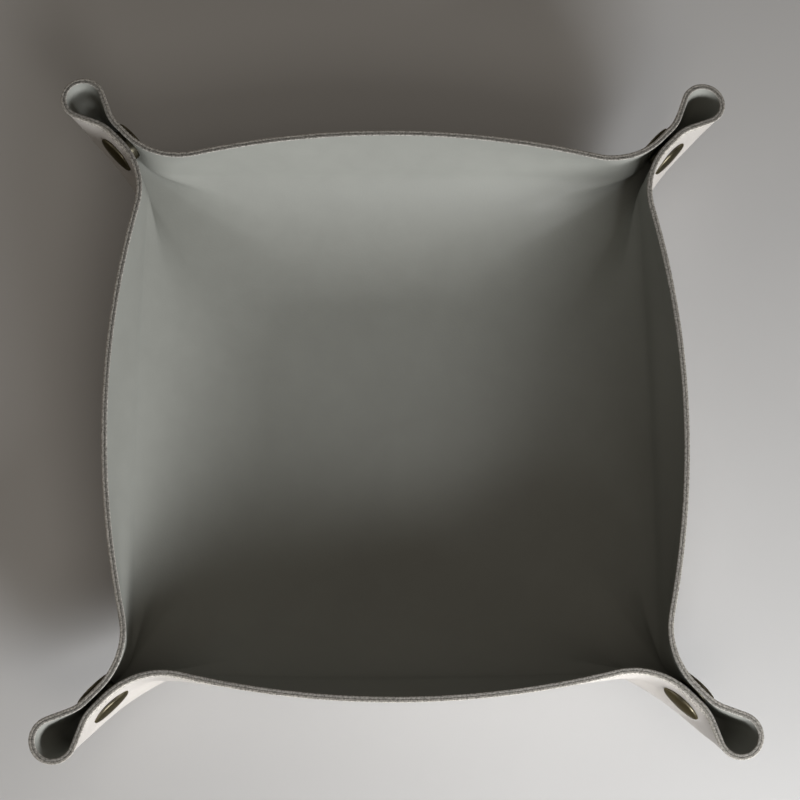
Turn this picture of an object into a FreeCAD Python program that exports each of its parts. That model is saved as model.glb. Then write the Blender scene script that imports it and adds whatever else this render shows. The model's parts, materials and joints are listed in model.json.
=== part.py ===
import FreeCAD, Part
import math
import os
import Sketcher

os.makedirs("parts", exist_ok=True)
doc = FreeCAD.newDocument("valet_tray")

# Sizes in millimetres and degrees
SIZES = [
    ("tray_height", 36.0),
    ("ply", 0.85),
    ("snap_spacing", 168.0),
    ("snap_drop", 10.0),
    ("neck_gap", 3.4),
    ("neck_length", 11.6),
    ("neck_depth", 17.5),
    ("pinch_radius", 13.0),
    ("flare_radius", 12.0),
    ("flare_angle", 21.0),
    ("web_length", 6.5),
    ("side_bulge", 6.9),
    ("side_run", 40.0),
    ("corner_run", 32.0),
    ("corner_opening", 20.0),
    ("floor_turn", 3.0),
    ("floor_flare", 2.0),
    ("floor_web", 1.0),
    ("floor_neck", 3.0),
    ("least_bulge", 0.8),
    ("wall_curve", 0.65),
    ("lip_width", 11.0),
    ("lip_height", 17.0),
    ("slit", 0.3),
    ("cap_radius", 6.25),
    ("cap_rise", 2.2),
    ("cap_edge", 0.5),
    ("cap_seat", 5.0),
    ("cap_lift", 0.5),
    ("post_radius", 2.0),
    ("post_room", 0.1),
    ("flare_rim", 2.3),
    ("flare_thick", 0.3),
    ("socket_radius", 5.0),
    ("socket_tall", 2.6),
    ("socket_floor", 0.5),
    ("socket_lip", 0.12),
    ("mouth_radius", 2.6),
    ("cavity_radius", 2.85),
    ("spring_radius", 2.45),
    ("spring_wire", 0.25),
    ("spring_sweep", 320.0),
    ("spring_level", 0.4),
    ("stud_flange", 4.75),
    ("flange_thick", 0.5),
    ("neck_radius", 2.0),
    ("bulb_radius", 2.35),
    ("tip_radius", 1.7),
    ("tip_tall", 0.3),
    ("bulb_tall", 0.15),
    ("bulb_slope", 0.65),
    ("stud_tall", 2.3),
    ("bore_radius", 1.3),
    ("bore_floor", 0.8),
    ("pin_radius", 1.2),
    ("pin_room", 0.1),
]
sheet = doc.addObject("Spreadsheet::Sheet", "sizes")
for row, (alias, value) in enumerate(SIZES, start=1):
    sheet.set(f"A{row}", alias)
    sheet.set(f"B{row}", str(value))
    sheet.setAlias(f"B{row}", alias)
doc.recompute()

CORNERS = ["front_right", "back_right", "back_left", "front_left"]
HALF_CORNER = 45.0
LEVELS = [0.0, 0.02, 0.07, 0.15, 0.27, 0.4, 0.53, 0.76, 1.0]


def size(alias):
    """Number held in a cell of the sheet."""
    return float(sheet.get(alias))


height = size("tray_height")
ply = size("ply")
neck_middle = size("neck_gap") / 2 + ply
snap_level = height - size("snap_drop")
corner_reach = size("snap_spacing") / math.sqrt(2)


class Pen:
    """Draws a chain of tangent lines and arcs, and keeps each as its points and headings."""

    def __init__(self, heading):
        self.x = 0.0
        self.y = 0.0
        self.heading = heading
        self.steps = []

    def line(self, length):
        start = (self.x, self.y, self.heading)
        self.x += length * math.cos(self.heading)
        self.y += length * math.sin(self.heading)
        self.steps.append([start, (self.x, self.y, self.heading)])

    def arc(self, radius, turn):
        side = math.copysign(radius, turn)
        centre_x = self.x - side * math.sin(self.heading)
        centre_y = self.y + side * math.cos(self.heading)
        points = []
        for share in (0.0, 0.5, 1.0):
            angle = self.heading + turn * share
            points.append((centre_x + side * math.sin(angle), centre_y - side * math.cos(angle), angle))
        self.x, self.y, self.heading = points[-1]
        self.steps.append(points)


def smooth(share):
    """Eases a share between 0 and 1."""
    share = min(max(share, 0.0), 1.0)
    return share * share * (3 - 2 * share)


def between(floor_alias, rim_value, share):
    """Value that goes from its size at the floor to its size at the rim."""
    floor_value = size(floor_alias)
    return floor_value + (rim_value - floor_value) * share


def corner_chain(share, wall_tilt):
    """Half of a corner from the end of the front wall to the tip of the front right loop."""
    neck_share = min(share * height / (height - size("neck_depth")), 1.0)
    fold = smooth(neck_share)
    turn_in = math.radians(between("floor_turn", HALF_CORNER, fold))
    flare = math.radians(between("floor_flare", size("flare_angle"), share))
    web = between("floor_web", size("web_length"), share * share)
    flat = between("floor_neck", size("neck_length"), neck_share)
    half_width = neck_middle + size("corner_opening") * (1 - fold) ** 2
    bend = size("flare_radius")
    loop = (half_width + bend * (1 - math.cos(flare)) + web * math.sin(flare)) / math.cos(flare)
    pen = Pen(wall_tilt)
    pen.arc(size("pinch_radius"), -turn_in - wall_tilt)
    pen.line(flat)
    pen.arc(bend, -flare)
    pen.line(web)
    pen.arc(loop, math.radians(HALF_CORNER) + turn_in + flare)
    return pen


def rim_wall():
    """Distance from the middle of the tray to the front wall where the rim starts to pinch in."""
    tilt = 0.0
    for _ in range(8):
        chain = corner_chain(1.0, tilt)
        (near_x, near_y, _), (far_x, far_y, _) = chain.steps[1]
        offset = neck_middle / math.sqrt(2)
        wall = size("snap_spacing") / 2 + offset + (near_y + far_y) / 2
        half_length = size("snap_spacing") / 2 - offset - (near_x + far_x) / 2
        tilt = 2 * math.atan2(size("side_bulge"), half_length)
    return wall


RIM_WALL = rim_wall()


def quarter(share):
    """Front wall and front right loop at one share of the height, as lines and arcs of the middle surface."""
    neck_share = min(share * height / (height - size("neck_depth")), 1.0)
    wall = RIM_WALL - size("corner_run") * (1 - math.sqrt(1 - (1 - neck_share) ** 2))
    curve = size("wall_curve")
    rise = math.sqrt(1 - (1 - curve * share) ** 2) / math.sqrt(1 - (1 - curve) ** 2)
    middle = RIM_WALL + size("side_bulge") - size("side_run") * (1 - rise)
    bulge = max(middle - wall, size("least_bulge"))
    tilt = 0.0
    for _ in range(12):
        chain = corner_chain(share, tilt)
        half_length = wall - chain.y - chain.x
        tilt = 2 * math.atan2(bulge, half_length)
    chain = corner_chain(share, tilt)
    steps = [[(-half_length, -wall, -tilt), (0.0, -wall - bulge, 0.0), (half_length, -wall, tilt)]]
    for points in chain.steps:
        steps.append([(x + half_length, y - wall, heading) for x, y, heading in points])
    loop_start = steps[-1][0]
    loop_tip = steps[-1][-1]
    steps[-1] = [loop_start, loop_tip, mirrored(loop_start)]
    for points in steps[-2:0:-1]:
        steps.append([mirrored(point) for point in reversed(points)])
    return steps


def mirrored(point):
    """Point on the other side of the front right diagonal, with its heading."""
    x, y, heading = point
    return (-y, -x, math.pi / 2 - heading)


def section(share, level, offset):
    """Closed outline of the sheet at one level, moved outwards by an offset."""
    edges = []
    for turn in range(4):
        spin = FreeCAD.Rotation(FreeCAD.Vector(0, 0, 1), 90 * turn)
        for points in quarter(share):
            moved = []
            for x, y, heading in points:
                flat = FreeCAD.Vector(x + offset * math.sin(heading), y - offset * math.cos(heading), level)
                moved.append(spin.multVec(flat))
            if len(moved) == 2:
                edges.append(Part.makeLine(moved[0], moved[1]))
            else:
                edges.append(Part.Arc(*moved).toShape())
    return Part.Wire(edges)


def bowl(offset, floor):
    """Solid inside one face of the sheet, from its floor to the rim."""
    wires = [section(share, floor + (height - floor) * share, offset) for share in LEVELS]
    return Part.makeLoft(wires, True, False)


# Placing pieces at the snaps
def at_snap(corner, side, across, along, up):
    """Placement at a snap, with Z outwards along its axis, X along the neck and Y up."""
    angle = 90.0 * corner - 45.0 + (0.0 if side == "socket" else 180.0)
    reach = math.radians(90.0 * corner - 45.0)
    spin = FreeCAD.Rotation(FreeCAD.Vector(0, 0, 1), angle)
    turn = spin.multiply(FreeCAD.Rotation(FreeCAD.Vector(1, 0, 0), 90))
    snap = FreeCAD.Vector(corner_reach * math.cos(reach), corner_reach * math.sin(reach), snap_level)
    return FreeCAD.Placement(snap + turn.multVec(FreeCAD.Vector(along, up, across)), turn)


def block(name, placement, length, width, tall):
    """Box bound to the sheet of sizes."""
    box = doc.addObject("Part::Box", name)
    box.setExpression("Length", length)
    box.setExpression("Width", width)
    box.setExpression("Height", tall)
    box.Placement = placement
    return box


def turned(name, points, arc_from=None):
    """Body turned about its own Z axis from a closed outline of sheet expressions."""
    body = doc.addObject("PartDesign::Body", name)
    sketch = body.newObject("Sketcher::SketchObject", name + "_outline")
    plane = [item for item in body.Origin.OriginFeatures if item.Role == "XZ_Plane"][0]
    sketch.AttachmentSupport = [(plane, "")]
    sketch.MapMode = "FlatFace"
    doc.recompute()
    values = []
    for across, along in points:
        values.append(FreeCAD.Vector(value_of(across), value_of(along), 0))
    count = len(values)
    for index, start in enumerate(values):
        end = values[(index + 1) % count]
        if index == arc_from:
            drop = end.y - start.y
            radius = (start.x ** 2 + drop ** 2) / (2 * drop)
            circle = Part.Circle(FreeCAD.Vector(0, end.y - radius, 0), FreeCAD.Vector(0, 0, 1), radius)
            low = math.atan2(start.y - end.y + radius, start.x)
            sketch.addGeometry(Part.ArcOfCircle(circle, low, math.pi / 2))
        else:
            sketch.addGeometry(Part.LineSegment(start, end))
    for index in range(count):
        sketch.addConstraint(Sketcher.Constraint("Coincident", index, 2, (index + 1) % count, 1))
        across, along = points[index]
        if across == "0":
            sketch.addConstraint(Sketcher.Constraint("PointOnObject", index, 1, -2))
        else:
            bind(sketch, "DistanceX", index, values[index].x, across)
        if along == "0":
            sketch.addConstraint(Sketcher.Constraint("PointOnObject", index, 1, -1))
        else:
            bind(sketch, "DistanceY", index, values[index].y, along)
    if arc_from is not None:
        sketch.addConstraint(Sketcher.Constraint("PointOnObject", arc_from, 3, -2))
    turn = body.newObject("PartDesign::Revolution", name + "_turn")
    turn.Profile = sketch
    turn.ReferenceAxis = (sketch, ["V_Axis"])
    turn.Angle = 360.0
    sketch.Visibility = False
    return body


def value_of(expression):
    """Number that a sheet expression gives."""
    return float(sheet.evalExpression(expression))


def bind(sketch, kind, index, value, expression):
    """Holds one point of an outline at a distance bound to the sheet."""
    place = sketch.addConstraint(Sketcher.Constraint(kind, -1, 1, index, 1, value))
    sketch.setExpression(f"Constraints[{place}]", expression)


# Outlines of the turned snap pieces, across and along the snap axis
leather = "2 * sizes.ply"
post_end = "sizes.flare_thick + sizes.socket_floor + " + leather
CAP_OUTLINE = [
    ("0", "0"),
    ("sizes.flare_rim", "0"),
    ("sizes.flare_rim", "sizes.flare_thick"),
    ("sizes.post_radius", "sizes.flare_thick"),
    ("sizes.post_radius", post_end),
    ("sizes.cap_seat", post_end),
    ("sizes.cap_radius", post_end + " + sizes.cap_lift"),
    ("sizes.cap_radius", post_end + " + sizes.cap_lift + sizes.cap_edge"),
    ("0", post_end + " + sizes.cap_lift + sizes.cap_rise"),
]
pin_end = "sizes.stud_tall - sizes.bore_floor - sizes.pin_room + " + leather
PIN_OUTLINE = [
    ("0", "0"),
    ("sizes.pin_radius", "0"),
    ("sizes.pin_radius", pin_end),
    ("sizes.cap_seat", pin_end),
    ("sizes.cap_radius", pin_end + " + sizes.cap_lift"),
    ("sizes.cap_radius", pin_end + " + sizes.cap_lift + sizes.cap_edge"),
    ("0", pin_end + " + sizes.cap_lift + sizes.cap_rise"),
]
SOCKET_OUTLINE = [
    ("sizes.mouth_radius", "0"),
    ("sizes.socket_radius", "0"),
    ("sizes.socket_radius", "sizes.socket_tall"),
    ("sizes.post_radius + sizes.post_room", "sizes.socket_tall"),
    ("sizes.post_radius + sizes.post_room", "sizes.socket_tall - sizes.socket_floor"),
    ("sizes.cavity_radius", "sizes.socket_tall - sizes.socket_floor"),
    ("sizes.cavity_radius", "sizes.socket_lip"),
    ("sizes.mouth_radius", "sizes.socket_lip"),
]
bulb_end = "sizes.tip_tall + sizes.bulb_tall"
STUD_OUTLINE = [
    ("0", "0"),
    ("sizes.tip_radius", "0"),
    ("sizes.bulb_radius", "sizes.tip_tall"),
    ("sizes.bulb_radius", bulb_end),
    ("sizes.neck_radius", bulb_end + " + sizes.bulb_slope"),
    ("sizes.neck_radius", "sizes.stud_tall - sizes.flange_thick"),
    ("sizes.stud_flange", "sizes.stud_tall - sizes.flange_thick"),
    ("sizes.stud_flange", "sizes.stud_tall"),
    ("sizes.bore_radius", "sizes.stud_tall"),
    ("sizes.bore_radius", "sizes.bore_floor"),
    ("0", "sizes.bore_floor"),
]

# Snaps, each set of five pieces on its two lips
face = size("neck_gap") / 2
slit = size("slit")
half_lip = size("lip_width") / 2
lip_bottom = height - size("lip_height") - snap_level
nodes = []
notches = []


def finish(item, name):
    """Keeps a document object as a node."""
    item.Label = name
    nodes.append(item)


def lip_ply(corner, side, layer, depth, hole):
    """One ply of a lip with the hole for its snap post."""
    name = f"{CORNERS[corner]}_{side}_lip_{layer}"
    place = at_snap(corner, side, depth, -half_lip, lip_bottom)
    slab = block(name + "_slab", place, "sizes.lip_width", "sizes.lip_height", "sizes.ply")
    drill = doc.addObject("Part::Cylinder", name + "_hole")
    drill.setExpression("Radius", hole)
    drill.setExpression("Height", "3 * sizes.ply")
    drill.Placement = at_snap(corner, side, depth - ply, 0.0, 0.0)
    cut = doc.addObject("Part::Cut", name + "_cut")
    cut.Base = slab
    cut.Tool = drill
    finish(cut, name)


for corner, corner_name in enumerate(CORNERS):
    for side in ("socket", "stud"):
        radius = "post_radius" if side == "socket" else "pin_radius"
        for layer, depth in (("inner", face), ("outer", face + ply)):
            lip_ply(corner, side, layer, depth, f"sizes.{radius} + sizes.post_room")
        notch = Part.makeBox(2 * (half_lip + slit), size("lip_height") + ply + slit, 4 * ply)
        notch.Placement = at_snap(corner, side, face - ply, -half_lip - slit, lip_bottom - slit)
        notches.append(notch)

    cap = turned(corner_name + "_socket_cap_body", CAP_OUTLINE, 7)
    depth = face - size("socket_floor") - size("flare_thick")
    cap.Placement = at_snap(corner, "socket", depth, 0.0, 0.0)
    finish(cap, corner_name + "_socket_cap")

    socket = turned(corner_name + "_socket_body", SOCKET_OUTLINE)
    depth = face - size("socket_tall")
    socket.Placement = at_snap(corner, "socket", depth, 0.0, 0.0)
    finish(socket, corner_name + "_socket")

    spring = doc.addObject("Part::Torus", corner_name + "_spring_ring")
    spring.setExpression("Radius1", "sizes.spring_radius")
    spring.setExpression("Radius2", "sizes.spring_wire")
    spring.setExpression("Angle3", "sizes.spring_sweep")
    spring.Placement = at_snap(corner, "socket", depth + size("spring_level"), 0.0, 0.0)
    finish(spring, corner_name + "_socket_spring")

    stud = turned(corner_name + "_stud_body", STUD_OUTLINE)
    depth = face - size("stud_tall")
    stud.Placement = at_snap(corner, "stud", depth, 0.0, 0.0)
    finish(stud, corner_name + "_stud")

    pin = turned(corner_name + "_stud_cap_body", PIN_OUTLINE, 5)
    depth = face - size("stud_tall") + size("bore_floor") + size("pin_room")
    pin.Placement = at_snap(corner, "stud", depth, 0.0, 0.0)
    finish(pin, corner_name + "_stud_cap")

# Sheet of two plies, with room cut for the eight lips
outer_face = bowl(ply, 0.0)
bond_face = bowl(0.0, ply)
inner_face = bowl(-ply, 2 * ply)
for name, solid in (("outer", outer_face.cut(bond_face)), ("inner", bond_face.cut(inner_face))):
    layer = doc.addObject("Part::Feature", f"tray_{name}_layer")
    layer.Shape = solid.cut(notches)
    finish(layer, f"tray_{name}_ply")
doc.recompute()

# Checks, then one file for each node
for item in doc.Objects:
    if "Invalid" in item.State or "Error" in item.State:
        raise ValueError(f"{item.Label} did not build: {item.State}")
for item in nodes:
    if item.Shape.isNull() or not item.Shape.isValid():
        raise ValueError(f"{item.Label} has no valid shape")
    if len(item.Shape.Solids) != 1:
        raise ValueError(f"{item.Label} has {len(item.Shape.Solids)} solids")
    item.Shape.exportStep(f"parts/{item.Label}.step")
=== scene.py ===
"""Dresses the valet tray: folded two-ply leather, antique press studs and a pale tabletop stage."""

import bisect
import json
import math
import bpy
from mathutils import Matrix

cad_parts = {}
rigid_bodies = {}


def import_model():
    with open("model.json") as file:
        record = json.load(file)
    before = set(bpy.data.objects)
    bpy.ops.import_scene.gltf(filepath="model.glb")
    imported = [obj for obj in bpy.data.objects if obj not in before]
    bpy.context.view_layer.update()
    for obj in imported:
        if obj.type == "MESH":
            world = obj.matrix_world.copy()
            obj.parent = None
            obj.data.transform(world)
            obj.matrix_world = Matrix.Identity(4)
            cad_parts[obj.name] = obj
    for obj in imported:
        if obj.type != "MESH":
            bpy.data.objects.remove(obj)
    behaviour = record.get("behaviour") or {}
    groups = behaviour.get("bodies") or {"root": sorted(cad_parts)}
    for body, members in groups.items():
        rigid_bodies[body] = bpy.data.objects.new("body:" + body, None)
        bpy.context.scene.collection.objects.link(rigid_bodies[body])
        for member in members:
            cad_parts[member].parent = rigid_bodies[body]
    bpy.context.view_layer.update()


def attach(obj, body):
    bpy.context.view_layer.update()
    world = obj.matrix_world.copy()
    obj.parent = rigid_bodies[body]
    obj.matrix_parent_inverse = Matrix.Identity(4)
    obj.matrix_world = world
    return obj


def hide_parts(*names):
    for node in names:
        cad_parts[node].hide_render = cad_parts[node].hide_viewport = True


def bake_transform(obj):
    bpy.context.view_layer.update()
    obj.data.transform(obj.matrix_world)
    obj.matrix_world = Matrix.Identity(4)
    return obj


bl_info = {
    "name": "Valet Tray",
    "version": (1, 0, 0),
    "blender": (4, 5, 0),
    "location": "View3D > Sidebar > Valet Tray",
    "description": "Models a snap-corner leather valet tray around its packed frame",
    "category": "Object",
}

import bmesh
import bpy
from mathutils import Matrix, Vector

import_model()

MM = 0.001
CORNERS = ("front_right", "back_right", "back_left", "front_left")
SIDES = ("socket", "stud")

# Columns of the sheet along each stretch of a quarter outline
WALL_COLUMNS = 28
PINCH_COLUMNS = 12
NECK_COLUMNS = 8
FLARE_COLUMNS = 6
WEB_COLUMNS = 5
LOOP_COLUMNS = 24
FLEX_WALL_COLUMNS = 10
CORNER_COLUMNS = PINCH_COLUMNS + NECK_COLUMNS + FLARE_COLUMNS + WEB_COLUMNS
QUARTER_COLUMNS = WALL_COLUMNS + 2 * CORNER_COLUMNS + LOOP_COLUMNS
SHEET_COLUMNS = 4 * QUARTER_COLUMNS

# Rows of the sheet on the floor and up the wall
FLOOR_ROWS = 9
WALL_ROWS = 34
FLOOR_CORE = 0.12
ROW_CROWDING = 2.0

# Rounding of the cut edge, at the skin and at the bond of the plies
SKIN_ROUNDING = 0.22 * MM
BOND_ROUNDING = 0.14 * MM
ROUNDING_STEPS = 3


def length_property(name, description, default):
    """Length in metres that a user may change."""
    return bpy.props.FloatProperty(
        name=name, description=description, default=default, unit="LENGTH", precision=5, min=0.0
    )


def colour_property(name, description, default):
    """Surface colour that a user may change."""
    return bpy.props.FloatVectorProperty(
        name=name, description=description, default=default, subtype="COLOR", size=3, min=0.0, max=1.0
    )


class ValetTraySizes(bpy.types.PropertyGroup):
    """Sizes of the folded sheet and its snaps"""

    height: length_property("Height", "Rim above the table", 36.0 * MM)
    ply: length_property("Ply", "Thickness of each of the two plies", 0.85 * MM)
    snap_spacing: length_property("Snap spacing", "Between neighbouring snaps", 168.0 * MM)
    snap_drop: length_property("Snap drop", "From the rim down to the snap axis", 10.0 * MM)
    neck_gap: length_property("Neck gap", "Between the leather faces at a snap", 3.4 * MM)
    neck_length: length_property("Neck length", "Flat run of leather at a snap", 11.6 * MM)
    wall_easing: length_property("Wall easing", "Part of a neck that bends into the wall", 5.0 * MM)
    loop_easing: length_property("Loop easing", "Part of a neck that bends into the loop", 2.0 * MM)
    rim_closing: length_property("Rim closing", "How far a side leans in above a snap", 1.1 * MM)
    neck_depth: length_property("Neck depth", "From the rim down to the foot of the neck", 17.5 * MM)
    pinch_radius: length_property("Pinch radius", "Bend from the wall into the neck", 13.0 * MM)
    flare_radius: length_property("Flare radius", "Bend from the neck into the loop", 12.0 * MM)
    web_length: length_property("Web length", "Straight run before the loop's end", 6.5 * MM)
    side_bulge: length_property("Side bulge", "How far a side bows out at the rim", 6.9 * MM)
    side_run: length_property("Side run", "How far a side leans out over its height", 46.0 * MM)
    corner_run: length_property("Corner run", "How far a wall end leans out over its height", 38.0 * MM)
    corner_opening: length_property("Corner opening", "How far a corner opens at the floor", 15.0 * MM)
    cap_radius: length_property("Cap radius", "Radius of a snap cap", 6.25 * MM)
    cap_rise: length_property("Cap rise", "Height of a snap cap above its seat", 1.3 * MM)
    cap_sink: length_property("Cap sink", "How deep a cap presses into the leather", 0.45 * MM)
    flare_angle: bpy.props.FloatProperty(
        name="Flare angle",
        description="Opening of the loop at the rim",
        default=math.radians(21.0),
        subtype="ANGLE",
    )


class ValetTrayColours(bpy.types.PropertyGroup):
    """Colours of the leather, the metal and the stage"""

    inner_leather: colour_property("Inner leather", "Sage grey inner face", (0.335, 0.34, 0.315))
    outer_leather: colour_property("Outer leather", "Warm off-white outer face", (0.5, 0.475, 0.45))
    cut_edge: colour_property("Cut edge", "Fibres of the cut edge", (0.33, 0.315, 0.29))
    antique_brass: colour_property("Antique brass", "Metal where the finish is worn", (0.22, 0.2, 0.142))
    dark_patina: colour_property("Dark patina", "Antique finish of the snaps", (0.065, 0.06, 0.044))
    spring_wire: colour_property("Spring wire", "Drawn spring steel", (0.55, 0.54, 0.5))
    tabletop: colour_property("Tabletop", "Pale table and backdrop", (0.61, 0.61, 0.615))


def settings():
    """Sizes and colours of the scene."""
    scene = bpy.context.scene
    return scene.valet_tray_sizes, scene.valet_tray_colours


def eased(share):
    """Eases a share between 0 and 1."""
    share = min(max(share, 0.0), 1.0)
    return share * share * (3.0 - 2.0 * share)


# Outline of the folded sheet
class Pen:
    """Walks tangent lines and arcs, leaving evenly spaced points with their headings."""

    def __init__(self, heading):
        self.place = Vector((0.0, 0.0))
        self.heading = heading
        self.points = [(self.place.copy(), heading)]

    def line(self, length, count):
        """Goes straight on."""
        start = self.place.copy()
        way = Vector((math.cos(self.heading), math.sin(self.heading)))
        for step in range(1, count + 1):
            self.points.append((start + way * (length * step / count), self.heading))
        self.place = start + way * length

    def arc(self, radius, turn, count):
        """Turns left for a positive turn and right for a negative one."""
        side = math.copysign(radius, turn)
        centre = self.place + Vector((-math.sin(self.heading), math.cos(self.heading))) * side
        start = self.heading
        for step in range(1, count + 1):
            self.heading = start + turn * step / count
            self.place = centre + Vector((math.sin(self.heading), -math.cos(self.heading))) * side
            self.points.append((self.place.copy(), self.heading))


class TrayFold:
    """Middle surface of the folded sheet, level by level."""

    DIAGONAL = math.radians(45.0)
    WALL_CURVE = 0.65
    FLOOR_TURN = math.radians(3.0)
    FLOOR_FLARE = math.radians(2.0)
    FLOOR_WEB = 1.0 * MM
    FLOOR_NECK = 3.0 * MM
    LEAST_BULGE = 0.4 * MM
    BULGE_EASING = 2.5 * MM
    SNAP_GRIP = 3.0 * MM
    RIM_FLARE = math.radians(4.0)
    CREASE_EASING = 14.0
    CREASE_SOFTNESS = 14.0 * MM
    SOFTENING_STEPS = 5
    RIM_ROUNDS = 8
    TILT_ROUNDS = 40

    def __init__(self, sizes):
        self.sizes = sizes
        self.half_neck = sizes.neck_gap / 2 + sizes.ply
        self.rim_wall = self.find_rim_wall()
        self.known = {}

    def neck_share(self, share):
        """Share of the way from the floor to the foot of the neck."""
        return min(share * self.sizes.height / (self.sizes.height - self.sizes.neck_depth), 1.0)

    def bend(self, share):
        """Way out from the foot of a wall at a share of its height, level at first and steep at last."""
        reach = math.sqrt(1.0 - (1.0 - self.WALL_CURVE * share) ** 2)
        return reach / math.sqrt(1.0 - (1.0 - self.WALL_CURVE) ** 2)

    def rim_share(self, share):
        """Share of the way from just above the snap to the rim."""
        start = 1.0 - (self.sizes.snap_drop - self.SNAP_GRIP) / self.sizes.height
        return eased((share - start) / (1.0 - start))

    def corner(self, share, tilt, rim_share):
        """Half of the front right corner, from the front wall's end to the loop's tip."""
        sizes = self.sizes
        fold = eased(self.neck_share(share))
        turn_in = self.FLOOR_TURN + (self.DIAGONAL - self.FLOOR_TURN) * fold
        flare = self.FLOOR_FLARE + (sizes.flare_angle - self.FLOOR_FLARE) * share
        flare += self.RIM_FLARE * rim_share
        web = self.FLOOR_WEB + (sizes.web_length - self.FLOOR_WEB) * share * share
        neck = self.FLOOR_NECK + (sizes.neck_length - self.FLOOR_NECK) * self.neck_share(share) ** 3
        neck -= (sizes.wall_easing + sizes.loop_easing) * rim_share
        pinch = sizes.pinch_radius * (1.0 + self.CREASE_EASING * fold * (1.0 - fold))
        pinch += sizes.wall_easing * rim_share / math.tan((turn_in + tilt) / 2)
        half_width = self.half_neck + sizes.corner_opening * (1.0 - fold) ** 3
        half_width -= sizes.rim_closing * rim_share
        flare_drop = sizes.flare_radius * (1.0 - math.cos(flare))
        loop = (half_width + flare_drop + web * math.sin(flare)) / math.cos(flare)
        pen = Pen(tilt)
        pen.arc(pinch, -turn_in - tilt, PINCH_COLUMNS)
        pen.line(neck, NECK_COLUMNS)
        pen.arc(sizes.flare_radius, -flare, FLARE_COLUMNS)
        pen.line(web, WEB_COLUMNS)
        pen.arc(loop, self.DIAGONAL + turn_in + flare, LOOP_COLUMNS // 2)
        return pen

    def find_rim_wall(self):
        """Distance from the middle to the front wall where the rim starts to pinch in."""
        sizes = self.sizes
        tilt = 0.0
        offset = self.half_neck / math.sqrt(2.0)
        for _ in range(self.RIM_ROUNDS):
            points = self.corner(1.0, tilt, 0.0).points
            neck = (points[PINCH_COLUMNS][0] + points[PINCH_COLUMNS + NECK_COLUMNS][0]) / 2
            wall = sizes.snap_spacing / 2 + offset + neck.y
            half_length = sizes.snap_spacing / 2 - offset - neck.x
            tilt = 2.0 * math.atan2(sizes.side_bulge, half_length)
        return wall

    def quarter(self, share):
        """Points and headings from the left end of the front wall to the front end of the right wall."""
        sizes = self.sizes
        wall = self.rim_wall - sizes.corner_run * (1.0 - self.bend(self.neck_share(share)))
        middle = self.rim_wall + sizes.side_bulge - sizes.side_run * (1.0 - self.bend(share))
        spare = middle - wall - self.LEAST_BULGE
        bulge = self.LEAST_BULGE + (spare + math.hypot(spare, self.BULGE_EASING)) / 2
        rim_share = self.rim_share(share)
        tilt = 0.0
        for _ in range(self.TILT_ROUNDS):
            corner = self.corner(share, tilt, rim_share)
            half_length = wall - corner.place.y - corner.place.x
            tilt += (2.0 * math.atan2(bulge, half_length) - tilt) / 2
        bow = Pen(-tilt)
        bow.arc(half_length / math.sin(tilt), 2.0 * tilt, WALL_COLUMNS)
        points = [(place + Vector((-half_length, -wall)), heading) for place, heading in bow.points]
        half = [(place + Vector((half_length, -wall)), heading) for place, heading in corner.points]
        points += half[1:]
        for place, heading in reversed(half[:-1]):
            points.append((Vector((-place.y, -place.x)), math.pi / 2 - heading))
        return points[:-1]

    def outline(self, share):
        """All points and headings round the tray at one share of its height."""
        key = round(share, 6)
        if key not in self.known:
            quarter = self.quarter(share)
            points = []
            for turn in range(4):
                spin = Matrix.Rotation(turn * math.pi / 2, 2)
                points += [(spin @ place, heading + turn * math.pi / 2) for place, heading in quarter]
            reach = self.CREASE_SOFTNESS * (1.0 - eased(self.neck_share(share)))
            self.known[key] = self.softened(points, reach)
        return self.known[key]

    def softened(self, points, reach):
        """Closed outline averaged over a reach along its length, so that its bends run into each other."""
        spots = [place for place, _ in points] + [points[0][0]]
        headings = [heading for _, heading in points] + [points[0][1] + math.tau]
        walk = [0.0]
        for here, there in zip(spots, spots[1:]):
            walk.append(walk[-1] + (there - here).length)
        steps = range(-self.SOFTENING_STEPS, self.SOFTENING_STEPS + 1)
        weights = [1.0 + math.cos(math.pi * step / (self.SOFTENING_STEPS + 1)) for step in steps]
        result = []
        for column in range(len(points)):
            place = Vector((0.0, 0.0))
            heading = 0.0
            for step, weight in zip(steps, weights):
                lap, along = divmod(walk[column] + reach * step / self.SOFTENING_STEPS, walk[-1])
                first = bisect.bisect_right(walk, along, 0, len(points)) - 1
                part = (along - walk[first]) / (walk[first + 1] - walk[first])
                place += spots[first].lerp(spots[first + 1], part) * weight
                turned = headings[first] + (headings[first + 1] - headings[first]) * part
                heading += (turned + lap * math.tau) * weight
            result.append((place / sum(weights), heading / sum(weights)))
        return result

    def level(self, share, offset):
        """Height of a face of the sheet at one share, when the face lies at an offset outwards."""
        floor = self.sizes.ply - offset
        return floor + (self.sizes.height - floor) * share


def wall_shares():
    """Shares of the height at which the wall has rows, crowded towards the floor bend."""
    return [(row / WALL_ROWS) ** ROW_CROWDING for row in range(WALL_ROWS + 1)]


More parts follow.
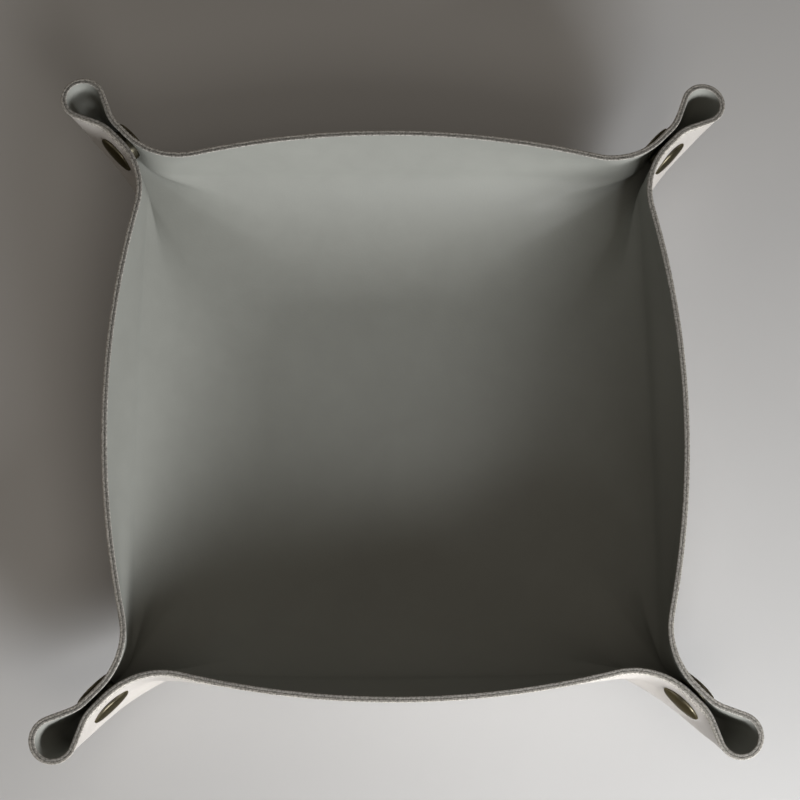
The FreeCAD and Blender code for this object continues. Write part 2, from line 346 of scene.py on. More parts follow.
def ply_profile(low, high):
    """Rows across one ply, from its inner floor over the rim to its outer floor.

    Each row is a share of the height, an offset outwards, a lift above its level, a shrink of the floor
    and whether it lies on the cut edge.
    """
    inner_round = SKIN_ROUNDING if low < 0 else BOND_ROUNDING
    outer_round = SKIN_ROUNDING if high > 0 else BOND_ROUNDING
    floor_rows = [FLOOR_CORE + (1.0 - FLOOR_CORE) * row / FLOOR_ROWS for row in range(FLOOR_ROWS)]
    shares = wall_shares()
    rows = [(0.0, low, 0.0, shrink, False) for shrink in floor_rows]
    rows += [(share, low, 0.0, 1.0, False) for share in shares[:-1]]
    for step in range(ROUNDING_STEPS + 1):
        angle = math.pi / 2 * step / ROUNDING_STEPS
        inset = inner_round * (1.0 - math.cos(angle))
        drop = inner_round * (1.0 - math.sin(angle))
        rows.append((1.0, low + inset, -drop, 1.0, step > 0))
    for step in range(ROUNDING_STEPS + 1):
        angle = math.pi / 2 * step / ROUNDING_STEPS
        inset = outer_round * (1.0 - math.sin(angle))
        drop = outer_round * (1.0 - math.cos(angle))
        rows.append((1.0, high - inset, -drop, 1.0, True))
    rows += [(share, high, 0.0, 1.0, False) for share in reversed(shares[:-1])]
    rows += [(0.0, high, 0.0, shrink, False) for shrink in reversed(floor_rows)]
    return rows


# Leather plies
TIP_COLUMN = WALL_COLUMNS + CORNER_COLUMNS + LOOP_COLUMNS // 2
FLEX_ROW = 8
FLEX_MARGIN = 0.03
SHEET_NUMBER = 0


class LeatherPly:
    """One ply of the folded sheet as a closed mesh, to be parted into the sheet and its eight flaps."""

    def __init__(self, sizes, fold, name, low, high, slot):
        self.sizes = sizes
        self.fold = fold
        self.name = name
        self.slot = slot
        self.rows = ply_profile(low, high)
        self.mesh = bmesh.new()
        self.column = None
        self.row = None
        self.wrap()

    def wrap(self):
        """Wraps a flat grid round the tray and closes it."""
        last_row = len(self.rows) - 1
        bmesh.ops.create_grid(self.mesh, x_segments=SHEET_COLUMNS, y_segments=last_row, size=1.0)
        self.column = self.mesh.verts.layers.int.new("column")
        self.row = self.mesh.verts.layers.int.new("row")
        flap = self.mesh.faces.layers.int.new("flap")
        direction = self.mesh.verts.layers.float_vector.new("whole_normal")
        bond = self.mesh.verts.layers.float.new("bond_nearness")
        for vert in self.mesh.verts:
            column = round((vert.co.x + 1.0) / 2.0 * SHEET_COLUMNS) % SHEET_COLUMNS
            row = round((vert.co.y + 1.0) / 2.0 * last_row)
            vert[self.column] = column
            vert[self.row] = row
            vert[bond] = 1.0 - abs(self.rows[row][1]) / self.sizes.ply
            vert.co = self.place(column, row)
        bmesh.ops.remove_doubles(self.mesh, verts=self.mesh.verts, dist=0.0001 * MM)
        open_edges = [edge for edge in self.mesh.edges if edge.is_boundary]
        bmesh.ops.holes_fill(self.mesh, edges=open_edges, sides=0)
        bmesh.ops.recalc_face_normals(self.mesh, faces=self.mesh.faces)
        for face in self.mesh.faces:
            face.smooth = True
            face.material_index = self.finish_of(face)
            face[flap] = self.flap_of(face)
        self.mesh.normal_update()
        for vert in self.mesh.verts:
            vert[direction] = vert.normal

    def place(self, column, row):
        """Point of the ply in one column and row."""
        share, offset, lift, shrink, _ = self.rows[row]
        spot, heading = self.fold.outline(share)[column]
        spot = spot + Vector((math.sin(heading), -math.cos(heading))) * offset
        spot = spot * shrink
        return Vector((spot.x, spot.y, self.fold.level(share, offset) + lift))

    def finish_of(self, face):
        """Finish of a face: 0 for the skin, 1 for the cut edge."""
        rows = [vert[self.row] for vert in face.verts]
        on_edge = self.rows[min(rows)][4] or self.rows[max(rows)][4]
        return 1 if on_edge else 0

    def flap_of(self, face):
        """Number of the flap that a face belongs to, or the sheet's own number."""
        last_row = len(self.rows) - 1
        rows = [min(vert[self.row], last_row - vert[self.row]) for vert in face.verts]
        if min(rows) < FLOOR_ROWS + FLEX_ROW:
            return SHEET_NUMBER
        columns = [vert[self.column] for vert in face.verts]
        first = min(columns)
        if max(columns) - first > SHEET_COLUMNS // 2:
            first = max(columns)
        for corner in range(len(CORNERS)):
            for side in SIDES:
                start, span = flap_columns(corner, side)
                if (first - start) % SHEET_COLUMNS < span:
                    return flap_number(corner, side)
        return SHEET_NUMBER

    def part(self, name, number, materials):
        """Makes a piece of the faces that have a number, and closes the ply where it is parted."""
        mesh = self.mesh.copy()
        column = mesh.verts.layers.int["column"]
        row = mesh.verts.layers.int["row"]
        flap = mesh.faces.layers.int["flap"]
        dropped = [face for face in mesh.faces if face[flap] != number]
        bmesh.ops.delete(mesh, geom=dropped, context="FACES")
        self.close_cuts(mesh, column, row)
        return finished_piece(name, mesh, materials)

    def close_cuts(self, mesh, column, row):
        """Joins the two faces of the ply along each cut."""
        last_row = len(self.rows) - 1
        spots = {(vert[column], vert[row]): vert for vert in mesh.verts}
        cuts = [edge for edge in mesh.edges if edge.is_boundary]
        for edge in cuts:
            first, second = edge.verts
            if max(first[row], second[row]) > last_row // 2:
                continue
            across = [spots.get((vert[column], last_row - vert[row])) for vert in (second, first)]
            if None in across:
                continue
            corners = [first, second] + across
            if len(set(corners)) < 3:
                continue
            kept = [vert for place, vert in enumerate(corners) if vert not in corners[:place]]
            wall = mesh.faces.new(kept)
            wall.smooth = False
            wall.material_index = 1
        bmesh.ops.recalc_face_normals(mesh, faces=mesh.faces)


def finished_piece(name, mesh, materials):
    """Turns a bmesh into an object with its materials, and with the shading of the whole surface."""
    direction = mesh.verts.layers.float_vector.get("whole_normal")
    normals = []
    if direction:
        mesh.verts.index_update()
        mesh.faces.index_update()
        for face in mesh.faces:
            face_normal = face.normal.copy()
            for loop in face.loops:
                whole = loop.vert[direction]
                normals.append(tuple(whole if face.smooth else face_normal))
    data = bpy.data.meshes.new(name)
    mesh.to_mesh(data)
    mesh.free()
    for material in materials:
        data.materials.append(material)
    if normals:
        data.normals_split_custom_set(normals)
    piece = bpy.data.objects.new(name, data)
    bpy.context.scene.collection.objects.link(piece)
    return piece


def flap_number(corner, side):
    """Number of a flap among the eight."""
    return 1 + corner * len(SIDES) + SIDES.index(side)


def flap_columns(corner, side):
    """First column of a flap and the number of columns that it spans."""
    base = corner * QUARTER_COLUMNS
    if side == "socket":
        first = base + WALL_COLUMNS - FLEX_WALL_COLUMNS
        return first, TIP_COLUMN - WALL_COLUMNS + FLEX_WALL_COLUMNS
    return base + TIP_COLUMN, QUARTER_COLUMNS - TIP_COLUMN + FLEX_WALL_COLUMNS


def pull_shares(ply, piece, corner, side):
    """Share of the snap's pull that each point of a flap follows, nought along its cuts."""
    sizes = ply.sizes
    fold = ply.fold
    start, span = flap_columns(corner, side)
    neck_near = LOOP_COLUMNS // 2 + WEB_COLUMNS + FLARE_COLUMNS
    neck_far = neck_near + NECK_COLUMNS
    neck_foot = (sizes.height - sizes.neck_depth) / sizes.height - FLEX_MARGIN
    cut_share = wall_shares()[FLEX_ROW]
    walks = {}
    shares = []
    column_of = piece.data.attributes["column"].data
    row_of = piece.data.attributes["row"].data
    for index in range(len(piece.data.vertices)):
        share = ply.rows[row_of[index].value][0]
        step = (column_of[index].value - start) % SHEET_COLUMNS
        from_tip = span - step if side == "socket" else step
        key = round(share, 6)
        if key not in walks:
            walks[key] = tip_walk(fold, share, corner, side, span)
        walk = walks[key]
        loop_share = eased(walk[from_tip] / walk[neck_near])
        wall_share = 1.0 - eased((walk[from_tip] - walk[neck_far]) / (walk[span] - walk[neck_far]))
        height_share = eased((share - cut_share) / (neck_foot - cut_share))
        shares.append(loop_share * wall_share * height_share)
    return shares


def tip_walk(fold, share, corner, side, span):
    """Distance along the outline from a loop's tip to each column of its flap."""
    outline = fold.outline(share)
    tip = corner * QUARTER_COLUMNS + TIP_COLUMN
    way = -1 if side == "socket" else 1
    walk = [0.0]
    for step in range(span):
        here = outline[(tip + way * step) % SHEET_COLUMNS][0]
        there = outline[(tip + way * (step + 1)) % SHEET_COLUMNS][0]
        walk.append(walk[-1] + (there - here).length)
    return walk


def hang_flap(piece):
    """Bakes a flap's placement into its mesh."""
    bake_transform(piece)


# Snap pieces
def snap_frame(sizes, corner, side):
    """Place of a snap, with Z outwards along its axis, X along the neck and Y up."""
    angle = math.radians(90.0 * corner - 45.0)
    reach = sizes.snap_spacing / math.sqrt(2.0)
    snap = Vector((reach * math.cos(angle), reach * math.sin(angle), sizes.height - sizes.snap_drop))
    turn = angle if side == "socket" else angle + math.pi
    spin = Matrix.Rotation(turn, 4, "Z") @ Matrix.Rotation(math.pi / 2, 4, "X")
    return Matrix.Translation(snap) @ spin


SPIN_STEPS = 72
SHARP_ANGLE = math.radians(28.0)
EDGE_SEGMENTS = 3

# Spring ring of a socket
WIRE_RADIUS = 0.25 * MM
WIRE_SIDES = 14
RING_RADIUS = 2.45 * MM
RING_TURN = math.radians(320.0)
RING_STEPS = 60
RING_PLACE = (0.0, 0.0, -0.5 * MM)


def turned_metal(name, outline, place, softness, material, worn_at):
    """Metal piece spun from an outline of radii and heights in millimetres, with softened edges."""
    mesh = bmesh.new()
    spots = [mesh.verts.new((radius * MM, 0.0, rise * MM)) for radius, rise in outline]
    edges = [mesh.edges.new(pair) for pair in zip(spots, spots[1:])]
    if outline[0][0] > 0.0 and outline[-1][0] > 0.0:
        edges.append(mesh.edges.new((spots[-1], spots[0])))
    bmesh.ops.spin(
        mesh,
        geom=spots + edges,
        cent=(0, 0, 0),
        axis=(0, 0, 1),
        angle=math.tau,
        steps=SPIN_STEPS,
        use_merge=True,
    )
    bmesh.ops.remove_doubles(mesh, verts=mesh.verts, dist=0.001 * MM)
    bmesh.ops.recalc_face_normals(mesh, faces=mesh.faces)
    inner_edges = [edge for edge in mesh.edges if len(edge.link_faces) == 2]
    sharp = [edge for edge in inner_edges if edge.calc_face_angle() > SHARP_ANGLE]
    bmesh.ops.bevel(
        mesh,
        geom=sharp,
        offset=softness * MM,
        offset_type="OFFSET",
        segments=EDGE_SEGMENTS,
        profile=0.5,
        affect="EDGES",
        material=-1,
        clamp_overlap=True,
    )
    wear = mesh.verts.layers.float.new("wear")
    for vert in mesh.verts:
        radius = math.hypot(vert.co.x, vert.co.y) / MM
        nearness = [1.0 - abs(radius - ring) / reach for ring, reach in worn_at]
        vert[wear] = max([0.0] + nearness)
    for face in mesh.faces:
        face.smooth = True
    bmesh.ops.transform(mesh, matrix=place, verts=mesh.verts)
    return finished_piece(name, mesh, [material])


def spring_ring(name, place, material):
    """Open ring of spring wire."""
    mesh = bmesh.new()
    start = Matrix.Translation((RING_RADIUS, 0, 0)) @ Matrix.Rotation(math.pi / 2, 4, "X")
    end = bmesh.ops.create_circle(mesh, cap_ends=True, radius=WIRE_RADIUS, segments=WIRE_SIDES, matrix=start)
    geometry = end["verts"] + list(mesh.edges) + list(mesh.faces)
    bmesh.ops.spin(
        mesh,
        geom=geometry,
        cent=(0, 0, 0),
        axis=(0, 0, 1),
        angle=RING_TURN,
        steps=RING_STEPS,
        use_merge=False,
    )
    bmesh.ops.recalc_face_normals(mesh, faces=mesh.faces)
    for face in mesh.faces:
        face.smooth = len(face.verts) == 4
    bmesh.ops.transform(mesh, matrix=place, verts=mesh.verts)
    return finished_piece(name, mesh, [material])


# Finishes
def new_group(name, inputs, outputs):
    """Shader node group with named value inputs and outputs."""
    group = bpy.data.node_groups.new(name, "ShaderNodeTree")
    for label, default in inputs:
        socket = group.interface.new_socket(name=label, in_out="INPUT", socket_type="NodeSocketFloat")
        socket.default_value = default
    for label in outputs:
        group.interface.new_socket(name=label, in_out="OUTPUT", socket_type="NodeSocketFloat")
    start = group.nodes.new("NodeGroupInput")
    end = group.nodes.new("NodeGroupOutput")
    return group, start, end


def add_noise(tree, where, scale, detail=4.0, roughness=0.55):
    """Noise over given coordinates."""
    node = tree.nodes.new("ShaderNodeTexNoise")
    node.inputs["Detail"].default_value = detail
    node.inputs["Roughness"].default_value = roughness
    tree.links.new(where, node.inputs["Vector"])
    if hasattr(scale, "is_output"):
        tree.links.new(scale, node.inputs["Scale"])
    else:
        node.inputs["Scale"].default_value = scale
    return node.outputs["Fac"]


def add_math(tree, operation, first, second):
    """Result of an operation on two values or outputs."""
    node = tree.nodes.new("ShaderNodeMath")
    node.operation = operation
    for socket, value in zip(node.inputs, (first, second)):
        if hasattr(value, "is_output"):
            tree.links.new(value, socket)
        else:
            socket.default_value = value
    return node.outputs["Value"]


def add_range(tree, value, low, high, to_low, to_high):
    """Value moved from one range to another and kept inside it."""
    node = tree.nodes.new("ShaderNodeMapRange")
    tree.links.new(value, node.inputs["Value"])
    limits = (("From Min", low), ("From Max", high), ("To Min", to_low), ("To Max", to_high))
    for label, limit in limits:
        node.inputs[label].default_value = limit
    return node.outputs["Result"]


def add_blend(tree, first, second, share):
    """Two values or outputs added up, the second by a share and the first by the rest."""
    first_part = add_math(tree, "MULTIPLY", first, 1.0 - share)
    second_part = add_math(tree, "MULTIPLY", second, share)
    return add_math(tree, "ADD", first_part, second_part)


def leather_grain_group():
    """Fine pebbled grain and slow mottling of finished leather."""
    outputs = ["Height", "Mottle", "Polish"]
    group, start, end = new_group("leather_grain", [("Pebble Scale", 1500.0)], outputs)
    spot = group.nodes.new("ShaderNodeTexCoord").outputs["Object"]
    cells = group.nodes.new("ShaderNodeTexVoronoi")
    cells.feature = "SMOOTH_F1"
    cells.inputs["Smoothness"].default_value = 0.6
    group.links.new(spot, cells.inputs["Vector"])
    group.links.new(start.outputs["Pebble Scale"], cells.inputs["Scale"])
    fine = add_noise(group, spot, 4200.0, detail=3.0)
    pebble = add_math(group, "SUBTRACT", add_math(group, "MULTIPLY", fine, 0.4), cells.outputs["Distance"])
    slow = add_noise(group, spot, 26.0, detail=5.0, roughness=0.6)
    patch = add_noise(group, spot, 140.0, detail=4.0, roughness=0.6)
    mottle = add_blend(group, slow, patch, 0.4)
    group.links.new(pebble, end.inputs["Height"])
    group.links.new(add_range(group, mottle, 0.3, 0.7, 0.0, 1.0), end.inputs["Mottle"])
    group.links.new(add_range(group, patch, 0.3, 0.7, 0.0, 1.0), end.inputs["Polish"])
    return group


def cut_fibre_group():
    """Speckled fibres of a cut leather edge."""
    group, start, end = new_group("cut_fibre", [("Fibre Scale", 1500.0)], ["Speckle", "Height"])
    spot = group.nodes.new("ShaderNodeTexCoord").outputs["Object"]
    coarse = add_noise(group, spot, start.outputs["Fibre Scale"], detail=5.0, roughness=0.7)
    fine = add_noise(group, spot, 9000.0, detail=2.0, roughness=0.6)
    both = add_blend(group, coarse, fine, 0.3)
    group.links.new(add_range(group, both, 0.42, 0.58, 0.0, 1.0), end.inputs["Speckle"])
    group.links.new(both, end.inputs["Height"])
    return group


def metal_patina_group():
    """Cloudy antique finish that is rubbed bright where a piece is worn."""
    group, start, end = new_group("metal_patina", [("Wear", 0.0)], ["Bright", "Polish", "Height"])
    spot = group.nodes.new("ShaderNodeTexCoord").outputs["Object"]
    cloud = add_noise(group, spot, 480.0, detail=5.0, roughness=0.62)
    scratch_map = group.nodes.new("ShaderNodeMapping")
    scratch_map.inputs["Scale"].default_value = (1.0, 9.0, 3.0)
    group.links.new(spot, scratch_map.inputs["Vector"])
    scratch = add_noise(group, scratch_map.outputs["Vector"], 900.0, detail=3.0, roughness=0.7)
    uneven = add_range(group, cloud, 0.35, 0.6, 0.35, 1.0)
    rubbed = add_math(group, "MULTIPLY", start.outputs["Wear"], uneven)
    lines = add_range(group, scratch, 0.62, 0.75, 0.0, 0.35)
    clouds = add_range(group, cloud, 0.45, 0.75, 0.0, 0.45)
    bright = add_math(group, "MAXIMUM", add_math(group, "ADD", rubbed, lines), clouds)
    group.links.new(bright, end.inputs["Bright"])
    group.links.new(add_range(group, cloud, 0.3, 0.7, 0.26, 0.42), end.inputs["Polish"])
    group.links.new(scratch, end.inputs["Height"])
    return group


def shared_group(name):
    """Node group that more than one finish uses, built once."""
    makers = {
        "leather_grain": leather_grain_group,
        "cut_fibre": cut_fibre_group,
        "metal_patina": metal_patina_group,
    }
    return bpy.data.node_groups.get(name) or makers[name]()


def new_material(name):
    """Node material with its shader."""
    material = bpy.data.materials.new(name)
    material.use_nodes = True
    shader = material.node_tree.nodes["Principled BSDF"]
    return material, material.node_tree, shader


def place_group(tree, name):
    """Group node of a shared effect."""
    node = tree.nodes.new("ShaderNodeGroup")
    node.node_tree = shared_group(name)
    return node


def add_colours(tree, share, first, second):
    """Colour between two others."""
    node = tree.nodes.new("ShaderNodeMix")
    node.data_type = "RGBA"
    tree.links.new(share, node.inputs["Factor"])
    node.inputs["A"].default_value = (*first, 1.0)
    node.inputs["B"].default_value = (*second, 1.0)
    return node.outputs["Result"]


def add_bump(tree, shader, height, strength, distance):
    """Relief of a surface."""
    node = tree.nodes.new("ShaderNodeBump")
    node.inputs["Strength"].default_value = strength
    node.inputs["Distance"].default_value = distance
    tree.links.new(height, node.inputs["Height"])
    tree.links.new(node.outputs["Normal"], shader.inputs["Normal"])


def scaled(colour, amount):
    """Colour made lighter or darker."""
    return tuple(min(part * amount, 1.0) for part in colour)


def leather_skin(name, colour, contrast, relief):
    """Smooth finished leather with fine grain."""
    material, tree, shader = new_material(name)
    grain = place_group(tree, "leather_grain")
    darker = scaled(colour, 1.0 - contrast)
    lighter = scaled(colour, 1.0 + contrast)
    tone = add_colours(tree, grain.outputs["Mottle"], darker, lighter)
    tree.links.new(tone, shader.inputs["Base Color"])
    polish = add_range(tree, grain.outputs["Polish"], 0.0, 1.0, 0.5, 0.62)
    tree.links.new(polish, shader.inputs["Roughness"])
    shader.inputs["Specular IOR Level"].default_value = 0.38
    add_bump(tree, shader, grain.outputs["Height"], strength=relief, distance=0.12 * MM)
    return material


def leather_edge(name, colour):
    """Raw cut edge with speckled fibres, a painted highlight as a paler band along each skin, and dark along
    the bond of the plies.
    """
    material, tree, shader = new_material(name)
    fibre = place_group(tree, "cut_fibre")
    across = tree.nodes.new("ShaderNodeAttribute")
    across.attribute_name = "bond_nearness"
    fibres = add_colours(tree, fibre.outputs["Speckle"], scaled(colour, 0.5), scaled(colour, 1.5))
    # Across each ply: painted highlight, up to half again lighter, in the quarter nearest the skin; a real
    # dark line along the bond of the plies.
    depth = tree.nodes.new("ShaderNodeValToRGB")
    painted_skin_highlight, at_bond = depth.color_ramp.elements
    painted_skin_highlight.color = (1.5, 1.5, 1.5, 1.0)
    at_bond.color = (0.5, 0.5, 0.5, 1.0)
    for nearness, level in ((0.25, 1.0), (0.8, 0.95)):
        depth.color_ramp.elements.new(nearness).color = (level, level, level, 1.0)
    tree.links.new(across.outputs["Fac"], depth.inputs["Fac"])
    tone = tree.nodes.new("ShaderNodeMix")
    tone.data_type = "RGBA"
    tone.blend_type = "MULTIPLY"
    tone.inputs["Factor"].default_value = 1.0
    tree.links.new(fibres, tone.inputs["A"])
    tree.links.new(depth.outputs["Color"], tone.inputs["B"])
    tree.links.new(tone.outputs["Result"], shader.inputs["Base Color"])
    shader.inputs["Roughness"].default_value = 0.88
    shader.inputs["Specular IOR Level"].default_value = 0.25
    add_bump(tree, shader, fibre.outputs["Height"], strength=0.6, distance=0.15 * MM)
    return material


def antique_metal(name, dark, bright):
    """Dark antique brass, rubbed bright at its edges."""
    material, tree, shader = new_material(name)
    worn = tree.nodes.new("ShaderNodeAttribute")
    worn.attribute_name = "wear"
    patina = place_group(tree, "metal_patina")
    tree.links.new(worn.outputs["Fac"], patina.inputs["Wear"])
    tone = add_colours(tree, patina.outputs["Bright"], dark, bright)
    tree.links.new(tone, shader.inputs["Base Color"])
    tree.links.new(patina.outputs["Polish"], shader.inputs["Roughness"])
    shader.inputs["Metallic"].default_value = 0.92
    shader.inputs["Specular Tint"].default_value = (*scaled(bright, 1.6), 1.0)
    add_bump(tree, shader, patina.outputs["Height"], strength=0.12, distance=0.05 * MM)
    return material


def drawn_wire(name, colour):
    """Bright drawn spring wire."""
    material, tree, shader = new_material(name)
    patina = place_group(tree, "metal_patina")
    tone = add_colours(tree, patina.outputs["Bright"], scaled(colour, 0.75), colour)
    tree.links.new(tone, shader.inputs["Base Color"])
    tree.links.new(patina.outputs["Polish"], shader.inputs["Roughness"])
    shader.inputs["Metallic"].default_value = 1.0
    return material


def pale_tabletop(name, colour):
    """Pale matte table with faint unevenness."""
    material, tree, shader = new_material(name)
    spot = tree.nodes.new("ShaderNodeTexCoord").outputs["Object"]
    cloud = add_noise(tree, spot, 6.0)
    tone = add_colours(tree, cloud, scaled(colour, 0.97), scaled(colour, 1.03))
    tree.links.new(tone, shader.inputs["Base Color"])
    shader.inputs["Roughness"].default_value = 0.7
    shader.inputs["Specular IOR Level"].default_value = 0.2
    return material


class VALETTRAY_OT_leather(bpy.types.Operator):
    """Folds the two leather plies and parts each into its sheet and the flaps at the snaps"""

    bl_idname = "valettray.leather"
    bl_label = "Leather Sheet"

    def execute(self, context):
        sizes, colours = settings()
        fold = TrayFold(sizes)
        edge = leather_edge("cut_leather_edge", colours.cut_edge)
        outer_skin = leather_skin("outer_leather", colours.outer_leather, contrast=0.035, relief=0.16)
        inner_skin = leather_skin("inner_leather", colours.inner_leather, contrast=0.05, relief=0.16)
        outer = LeatherPly(sizes, fold, "outer", 0.0, sizes.ply, "leather_outer")
        inner = LeatherPly(sizes, fold, "inner", -sizes.ply, 0.0, "leather_inner")
        for ply, skin in ((outer, outer_skin), (inner, inner_skin)):
            self.lay_out(sizes, ply, [skin, edge])
        return {"FINISHED"}

    def lay_out(self, sizes, ply, materials):
        """Parts one ply into its sheet and flaps, and ties the sheet to the tray's body."""
        sheet = ply.part(f"tray_{ply.name}_leather", SHEET_NUMBER, materials)
        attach(sheet, "tray")
        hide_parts(f"tray_{ply.name}_ply")
        for corner, corner_name in enumerate(CORNERS):
            for side in SIDES:
                name = f"{corner_name}_{side}_{ply.name}_flap"
                flap = ply.part(name, flap_number(corner, side), materials)
                pulls = pull_shares(ply, flap, corner, side)
                hang_flap(flap)
                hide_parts(f"{corner_name}_{side}_lip_{ply.name}")
        side_length = sheet_side(ply.fold)


def sheet_side(fold):
    """Side of the flat sheet, which is the length of a quarter of the rim."""
    outline = fold.outline(1.0)[: QUARTER_COLUMNS + 1]
    return sum((there[0] - here[0]).length for here, there in zip(outline, outline[1:]))


class VALETTRAY_OT_snaps(bpy.types.Operator):
    """Turns the caps, sockets, springs and studs of the four snaps"""

    bl_idname = "valettray.snaps"
    bl_label = "Press Studs"

    # Millimetres along a snap's axis and out from it
    SEAT = 1.68
    CAP_CLEARANCE = 0.02
    POST_FLANGE = 0.3
    CAP_LIP = 1.1
    RIM_WIDTH = 0.5
    RIM_HEIGHT = 0.45
    RIM_LIFT = 0.55
    RIM_TURN = math.radians(150.0)
    RIM_STEPS = 8
    DOME_STEPS = 12
    SOCKET_POST = {"post_foot": 0.9, "foot_radius": 2.3, "post_radius": 2.0}
    STUD_PIN = {"post_foot": 0.3, "foot_radius": 1.2, "post_radius": 1.2}

    def execute(self, context):
        sizes, colours = settings()
        metal = antique_metal("antique_brass", colours.dark_patina, colours.antique_brass)
        wire = drawn_wire("spring_wire", colours.spring_wire)
        for corner, corner_name in enumerate(CORNERS):
            sockets = snap_frame(sizes, corner, "socket")
            studs = snap_frame(sizes, corner, "stud")
            self.turn_cap(sizes, f"{corner_name}_socket", sockets, metal, **self.SOCKET_POST)
            self.turn_cap(sizes, f"{corner_name}_stud", studs, metal, **self.STUD_PIN)
            self.turn_socket(corner_name, sockets, metal)
            self.turn_stud(corner_name, studs, metal)
            spring_place = sockets @ Matrix.Translation(RING_PLACE)
            spring = spring_ring(f"{corner_name}_spring_ring", spring_place, wire)
            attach(spring, f"{corner_name}_socket_side")
            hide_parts(f"{corner_name}_socket_spring")
        return {"FINISHED"}

    def turn_cap(self, sizes, name, place, metal, post_foot, foot_radius, post_radius):
        """Domed cap with a rolled rim, on the post that goes through the leather."""
        face = (sizes.neck_gap / 2 + 2 * sizes.ply - sizes.cap_sink) / MM
        radius = sizes.cap_radius / MM
        top = face + sizes.cap_rise / MM
        rim = face + self.RIM_LIFT
        back = face + self.CAP_CLEARANCE
        flange = post_foot + self.POST_FLANGE
        outline = [
            (0.0, post_foot),
            (foot_radius, post_foot),
            (foot_radius, flange),
            (post_radius, flange),
            (post_radius, back),
            (radius - self.CAP_LIP, back),
        ]
        for step in range(self.RIM_STEPS + 1):
            angle = -math.pi / 2 + self.RIM_TURN * step / self.RIM_STEPS
            rim_radius = radius - self.RIM_WIDTH + self.RIM_WIDTH * math.cos(angle)
            outline.append((rim_radius, rim + self.RIM_HEIGHT * math.sin(angle)))
        dome_radius, dome_foot = outline[-1]
        rise = top - dome_foot
        ball = (dome_radius ** 2 + rise ** 2) / (2 * rise)
        low = math.asin(dome_radius / ball)
        for step in range(1, self.DOME_STEPS + 1):
            angle = low * (1.0 - step / self.DOME_STEPS)
            outline.append((ball * math.sin(angle), top - ball * (1.0 - math.cos(angle))))
        cap = turned_metal(f"{name}_dome", outline, place, 0.06, metal, [(radius, 0.55)])
        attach(cap, f"{name}_side")
        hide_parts(f"{name}_cap")

    def turn_socket(self, corner_name, place, metal):
        """Socket ring with a rolled mouth."""
        mouth = 2.6
        bore = 2.85
        post_hole = 2.1
        outside = 5.0
        mouth_face = -0.9
        mouth_back = -0.78
        shoulder = -0.72
        bore_floor = 1.2
        outline = [
            (mouth, mouth_face),
            (3.3, mouth_face),
            (3.6, shoulder),
            (4.5, shoulder),
            (outside, -0.45),
            (outside, self.SEAT),
            (post_hole, self.SEAT),
            (post_hole, bore_floor),
            (bore, bore_floor),
            (bore, mouth_back),
            (mouth, mouth_back),
        ]
        socket = turned_metal(f"{corner_name}_socket_ring", outline, place, 0.05, metal, [(3.0, 0.4)])
        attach(socket, f"{corner_name}_socket_side")
        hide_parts(f"{corner_name}_socket")

    def turn_stud(self, corner_name, place, metal):
        """Stud with a rounded head on its flange."""
        neck = 2.0
        flange = 4.75
        flange_face = 1.2
        pin_hole = 1.3
        hole_end = 0.2
        outline = [
            (0.0, -0.6),
            (1.3, -0.58),
            (1.85, -0.48),
            (2.2, -0.32),
            (2.35, -0.15),
            (2.3, 0.02),
            (neck, 0.5),
            (neck, 1.1),
            (2.3, flange_face),
            (4.6, flange_face),
            (flange, 1.35),
            (flange, self.SEAT),
            (pin_hole, self.SEAT),
            (pin_hole, hole_end),
            (0.0, hole_end),
        ]
        worn_at = [(2.3, 0.3), (flange, 0.3)]
        stud = turned_metal(f"{corner_name}_stud_head", outline, place, 0.05, metal, worn_at)
        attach(stud, f"{corner_name}_stud_side")
        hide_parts(f"{corner_name}_stud")


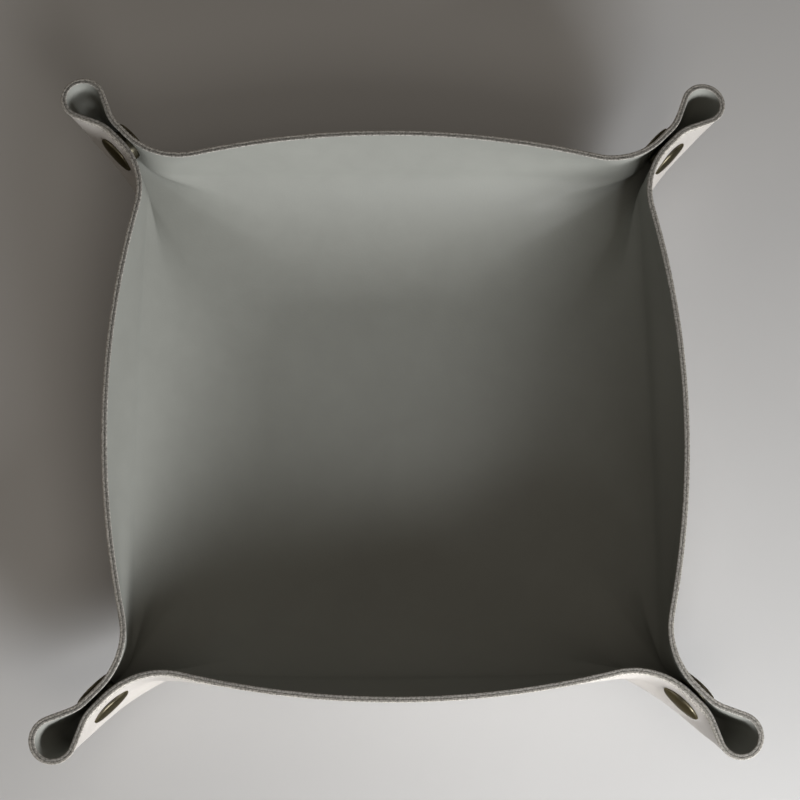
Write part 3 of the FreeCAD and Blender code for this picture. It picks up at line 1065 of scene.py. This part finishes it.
class VALETTRAY_OT_stage(bpy.types.Operator):
    """Sets the pale tabletop, the lights and the camera"""

    bl_idname = "valettray.stage"
    bl_label = "Stage"

    TABLE_REACH = 1.6
    CAMERA_PLACE = (-14.7 * MM, -102.7 * MM, 463.5 * MM)
    CAMERA_TURN = (0.2378, -0.0356, 0.0018)
    FOCAL_PIXELS = 1500.0
    IMAGE_PIXELS = 800.0
    SENSOR = 36.0

    def execute(self, context):
        _, colours = settings()
        self.lay_table(colours)
        self.light(context.scene)
        self.aim(context.scene)
        context.scene.view_settings.view_transform = "Standard"
        return {"FINISHED"}

    def lay_table(self, colours):
        """Wide table that fills the view."""
        mesh = bmesh.new()
        bmesh.ops.create_grid(mesh, x_segments=8, y_segments=8, size=self.TABLE_REACH)
        table = finished_piece("pale_table", mesh, [pale_tabletop("pale_tabletop", colours.tabletop)])

    def light(self, scene):
        """Low window from the front right, glows round the outside of the tray, and a fill from above."""
        outside = bpy.data.collections.new("outside_of_tray")
        for piece in scene.objects:
            if piece.type == "MESH" and "_inner_" not in piece.name:
                outside.objects.link(piece)
        daylight = (0.985, 0.995, 1.0)
        self.lamp("key_window", place=(0.29, -0.455, 0.205), size=(0.44, 0.14), power=4.3, colour=daylight)
        left_glow = self.lamp(
            "left_glow", place=(-0.5, 0.27, 0.35), size=(0.5, 0.3), power=0.28, colour=(1.0, 0.9, 0.78)
        )
        front_glow = self.lamp(
            "front_glow", place=(0.15, -0.45, 0.5), size=(0.3, 0.2), power=0.55, colour=(1.0, 0.92, 0.82)
        )
        self.lamp(
            "soft_fill", place=(0.12, -0.25, 0.75), size=(0.5, 0.5), power=0.36, colour=(1.0, 0.92, 0.8)
        )
        for glow in (left_glow, front_glow):
            glow.light_linking.receiver_collection = outside
        world = bpy.data.worlds.new("pale_room")
        world.use_nodes = True
        backdrop = world.node_tree.nodes["Background"]
        backdrop.inputs["Color"].default_value = (1.0, 0.9, 0.78, 1.0)
        backdrop.inputs["Strength"].default_value = 0.072
        scene.world = world

    def lamp(self, name, place, size, power, colour):
        """Lamp with a width and a height, aimed at the tray."""
        data = bpy.data.lights.new(name, "AREA")
        data.shape = "RECTANGLE"
        data.size, data.size_y = size
        data.energy = power
        data.color = colour
        lamp = bpy.data.objects.new(name, data)
        lamp.visible_camera = False
        lamp.location = place
        lamp.rotation_euler = (-Vector(place)).to_track_quat("-Z", "Y").to_euler()
        bpy.context.scene.collection.objects.link(lamp)
        return lamp

    def aim(self, scene):
        """Camera at the photograph's angle."""
        data = bpy.data.cameras.new("photo_camera")
        data.sensor_width = self.SENSOR
        data.lens = self.FOCAL_PIXELS / self.IMAGE_PIXELS * self.SENSOR
        data.clip_start = 0.01
        camera = bpy.data.objects.new("photo_camera", data)
        pitch, roll, yaw = self.CAMERA_TURN
        turn = Matrix.Rotation(yaw, 4, "Z") @ Matrix.Rotation(pitch, 4, "X") @ Matrix.Rotation(roll, 4, "Y")
        camera.matrix_world = Matrix.Translation(self.CAMERA_PLACE) @ turn
        scene.collection.objects.link(camera)
        scene.camera = camera


class VALETTRAY_PT_panel(bpy.types.Panel):
    """Lists the steps and the settings of the tray"""

    bl_label = "Valet Tray"
    bl_idname = "VALETTRAY_PT_panel"
    bl_space_type = "VIEW_3D"
    bl_region_type = "UI"
    bl_category = "Valet Tray"

    def draw(self, context):
        layout = self.layout
        for operator in OPERATORS:
            layout.operator(operator.bl_idname)
        for group in (context.scene.valet_tray_sizes, context.scene.valet_tray_colours):
            column = layout.column()
            for name in group.__annotations__:
                column.prop(group, name)


OPERATORS = (VALETTRAY_OT_leather, VALETTRAY_OT_snaps, VALETTRAY_OT_stage)
CLASSES = (ValetTraySizes, ValetTrayColours, *OPERATORS, VALETTRAY_PT_panel)


def register():
    """Adds the classes and settings."""
    for item in CLASSES:
        bpy.utils.register_class(item)
    bpy.types.Scene.valet_tray_sizes = bpy.props.PointerProperty(type=ValetTraySizes)
    bpy.types.Scene.valet_tray_colours = bpy.props.PointerProperty(type=ValetTrayColours)


def unregister():
    """Removes the settings and classes."""
    del bpy.types.Scene.valet_tray_colours
    del bpy.types.Scene.valet_tray_sizes
    for item in reversed(CLASSES):
        bpy.utils.unregister_class(item)


def main():
    """Builds every piece."""
    register()
    bpy.ops.valettray.leather()
    bpy.ops.valettray.snaps()
    bpy.ops.valettray.stage()


if __name__ == "__main__":
    main()
